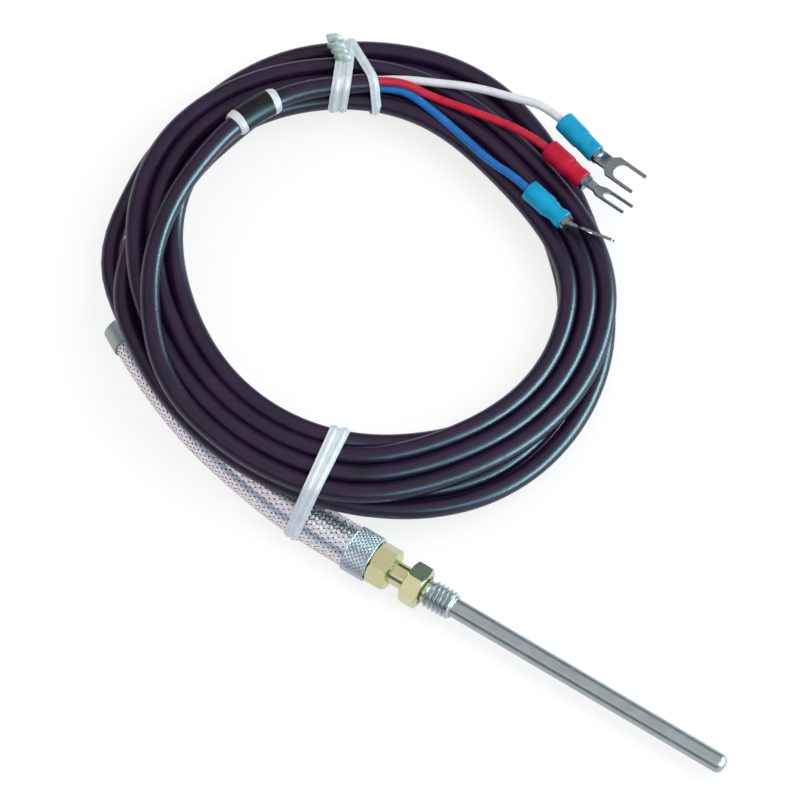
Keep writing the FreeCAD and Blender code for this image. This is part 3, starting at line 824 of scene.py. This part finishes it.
def slim_fork(colour, tongue_way, roll):
    """Fork of one terminal: the CAD's, with a thinner tongue and slimmer prongs."""
    barrel_end = 10.9
    thin_from, thinned = 1.0, 0.4
    slot_from = 3.9
    half, slot_half, new_slot_half = 2.75, 1.6, 2.1
    rear, way = terminals[colour]
    front = rear + way.normalized() * (barrel_end * MM)
    tongue_way = tongue_way.normalized()
    turn = Matrix.Rotation(math.radians(roll), 3, tongue_way)
    side = turn @ Vector((0, 0, 1)).cross(tongue_way).normalized()
    flat = tongue_way.cross(side)
    bm = bmesh.new()
    bm.from_mesh(nodes["terminal_fork_" + colour].data)
    for vert in bm.verts:
        away = (vert.co - front) / MM
        along, across, over = away.dot(tongue_way), away.dot(side), away.dot(flat)
        if along > thin_from:
            vert.co -= flat * (thinned * over * MM)
        if along > slot_from:
            reach = abs(across)
            if reach > slot_half:
                new_reach = half - (half - reach) * (half - new_slot_half) / (half - slot_half)
            else:
                new_reach = reach * new_slot_half / slot_half
            vert.co += side * (math.copysign(new_reach - reach, across) * MM)
    piece = add_mesh("fork_" + colour, bm, [tinned_copper])
    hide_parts("terminal_fork_" + colour)
    return piece


forks = {
    "white": slim_fork("white", Vector((9.8, -0.9, 0)), -14),
    "red": slim_fork("red", Vector((9.2, -0.6, 0)), -46),
    "blue": slim_fork("blue", Vector((8.2, 1.4, 0)), -70),
}

# The probe's axis over the surface
axis_height = 4.9


def threaded_screw():
    """Mounting screw: its hexagon as in the CAD, and a cut thread in place of the plain cylinder."""
    rear_x, front_x = -25.9, -19.55
    bore, core, front_r, thread_r = 2.05, 2.45, 2.4, 3.0
    ridge_x, run_in_x = -25.3, -25.65
    pitch, turns, steps_each = 1.0, 5.7, 40
    sunk, deepest = 0.05, 0.06
    run_in_slope = 0.9
    segments = 64
    bm = bmesh.new()
    bm.from_mesh(nodes["mounting_screw"].data)
    bmesh.ops.remove_doubles(bm, verts=bm.verts, dist=1e-6)
    everything = bm.verts[:] + bm.edges[:] + bm.faces[:]
    bmesh.ops.bisect_plane(bm, geom=everything, dist=1e-8, plane_co=mm(rear_x, 0, 0), plane_no=(1, 0, 0),
                           clear_outer=True)
    bmesh.ops.bridge_loops(bm, edges=[edge for edge in bm.edges if len(edge.link_faces) == 1])
    shank = bmesh.new()
    profile = [(rear_x, bore), (rear_x, core), (front_x - 0.05, core), (front_x, front_r), (front_x, bore)]
    lathe(shank, profile, mm(0, 0, axis_height), Vector((1, 0, 0)), segments)
    ridge = [(-0.46, core - sunk), (-0.09, thread_r), (0.09, thread_r), (0.46, core - sunk)]
    corners = [shank.verts.new(mm(ridge_x + along, 0, axis_height + radius)) for along, radius in ridge]
    face = shank.faces.new(corners)
    steps = round(turns * steps_each)
    before = set(shank.verts) - set(corners)
    bmesh.ops.spin(shank, geom=[face], cent=mm(0, 0, axis_height), axis=(1, 0, 0),
                   dvec=mm(pitch * turns / steps, 0, 0), angle=2 * math.pi * turns, steps=steps)
    for vert in set(shank.verts) - before:
        x = vert.co.x / MM
        out = Vector((0, vert.co.y, vert.co.z - axis_height * MM))
        limit = min(thread_r, front_r + front_x - x, core + (x - run_in_x) * run_in_slope)
        radius = max(min(out.length, limit * MM), (core - deepest) * MM)
        vert.co -= out.normalized() * (out.length - radius)
    for face in shank.faces:
        face.material_index = 1
    made = bpy.data.meshes.new("shank")
    shank.to_mesh(made)
    shank.free()
    bm.from_mesh(made)
    bpy.data.meshes.remove(made)
    piece = add_mesh("mounting_screw_threaded", bm, [fitting_brass, thread_nickel], "screw")
    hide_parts("mounting_screw")


threaded_screw()


def knurled_collar():
    """Crimped collar on the hose's front end, with a fine diamond knurl."""
    rear_x = -43.55
    length = 5.3
    front_x = rear_x + length
    bore, outside = 4.54, 4.9
    rim_r, edge_r = outside - 0.25, outside - 0.08
    plain_end = 0.3
    knurl_depth = 0.2
    rows = 9
    segments = 60
    row_step = (length - 2 * plain_end) / rows
    profile = [(rear_x, bore), (rear_x, rim_r), (rear_x + 0.1, edge_r)]
    profile += [(rear_x + plain_end + row_step * row, outside) for row in range(rows + 1)]
    profile += [(front_x - 0.1, edge_r), (front_x, rim_r), (front_x, bore)]
    bm = bmesh.new()
    lathe(bm, profile, mm(0, 0, axis_height), Vector((1, 0, 0)), segments)
    for vert in bm.verts:
        out = Vector((0, vert.co.y, vert.co.z - axis_height * MM))
        if out.length > (outside - 0.04) * MM:
            column = round(math.atan2(out.z, out.y) * segments / (2 * math.pi))
            row = round((vert.co.x / MM - rear_x - plain_end) / row_step)
            if (column + row) % 2:
                vert.co -= out.normalized() * (knurl_depth * MM)
    bmesh.ops.triangulate(bm, faces=bm.faces)
    piece = add_mesh("knurled_collar", bm, [collar_steel])
    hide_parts("hose_collar")


knurled_collar()

# Surface, light and camera

floor_mesh = bpy.data.meshes.new("floor")
floor_bm = bmesh.new()
bmesh.ops.create_grid(floor_bm, x_segments=1, y_segments=1, size=4.0)
floor_bm.to_mesh(floor_mesh)
floor_bm.free()
floor = bpy.data.objects.new("floor", floor_mesh)
bpy.context.scene.collection.objects.link(floor)


def floor_look():
    """Pale floor, mostly white wherever it is seen, so that its shadows stay soft."""
    white_share = 0.7
    look = Look("pale_floor", Specular_IOR_Level=0.2)
    cloud = look.noise(0.02, detail=2.0)
    colour = look.blend(cloud, (0.92, 0.92, 0.92), (0.95, 0.95, 0.95))
    look.use(Base_Color=colour, Roughness=0.7 + 0.1 * cloud)
    path = look.node("ShaderNodeLightPath", {}, {})
    seen = Value(look, path.outputs["Is Camera Ray"]) + Value(look, path.outputs["Is Glossy Ray"])
    seen = seen + Value(look, path.outputs["Is Transmission Ray"])
    white = look.node("ShaderNodeEmission", {}, {"Color": (1, 1, 1, 1), "Strength": 1.1})
    mixed = look.node("ShaderNodeMixShader", {}, {0: seen * white_share})
    look.tree.links.new(look.shader.outputs[0], mixed.inputs[1])
    look.tree.links.new(white.outputs[0], mixed.inputs[2])
    look.tree.links.new(mixed.outputs[0], look.tree.nodes["Material Output"].inputs["Surface"])
    return look.material


floor_mesh.materials.append(floor_look())

middle = mm(-52.3, 31.8, 4.9)
view_right = Vector((0.8457, 0.5336, 0))
view_up = Vector((-0.5336, 0.8457, 0))


def soft_lamp(name, right, up, height, size, power, colour):
    """Soft lamp aimed at the object's middle, placed by the picture's right and up, in metres."""
    data = bpy.data.lights.new(name, "AREA")
    data.shape = "RECTANGLE"
    data.size, data.size_y = size
    data.energy = power
    data.color = colour
    lamp = bpy.data.objects.new(name, data)
    lamp.location = middle + view_right * right + view_up * up + Vector((0, 0, height))
    lamp.rotation_euler = (middle - lamp.location).to_track_quat("-Z", "Y").to_euler()
    bpy.context.scene.collection.objects.link(lamp)
    return lamp


key_lamp = soft_lamp("key_lamp", 0.62, -0.08, 0.92, (0.7, 0.7), 4.5, (0.97, 0.99, 1.0))
key_lamp.visible_glossy = False
for name, right, up, height, size, power, colour in (
    ("side_strip", 1.12, -0.15, 0.32, (1.5, 0.36), 75, (0.45, 0.90, 1.0)),
    ("corner_strip", 0.55, -0.70, 0.64, (0.4, 0.3), 7, (0.30, 0.80, 1.0)),
    ("front_strip", -0.58, -0.59, 0.72, (0.8, 0.3), 0.3, (1.0, 0.96, 0.97)),
):
    strip = soft_lamp(name, right, up, height, size, power, colour)
    strip.visible_diffuse = False

# Bright ceiling over darker walls
world = bpy.data.worlds.new("studio")
bpy.context.scene.world = world
world.use_nodes = True
studio = Nodes(world.node_tree)
way = Value(studio, studio.node("ShaderNodeTexCoord", {}, {}).outputs["Generated"])
height = Value(studio, studio.node("ShaderNodeSeparateXYZ", {}, {"Vector": way}).outputs["Z"])
glow = studio.blend(height.between(0.34, 0.64), (0.06, 0.20, 0.34), (0.90, 0.86, 0.85))
background = world.node_tree.nodes["Background"]
world.node_tree.links.new(glow.socket, background.inputs["Color"])

lens = 500
sensor = 36
view_width = 0.16
tilt = math.radians(68)
camera_data = bpy.data.cameras.new("camera")
camera_data.lens = lens
camera_data.sensor_width = sensor
camera_data.clip_end = 20
camera = bpy.data.objects.new("camera", camera_data)
away = -view_up * math.cos(tilt) + Vector((0, 0, math.sin(tilt)))
camera.location = middle + away * (view_width * lens / sensor)
camera.rotation_euler = (-away).to_track_quat("-Z", "Y").to_euler()
bpy.context.scene.collection.objects.link(camera)
bpy.context.scene.camera = camera
bpy.context.scene.view_settings.view_transform = "Standard"
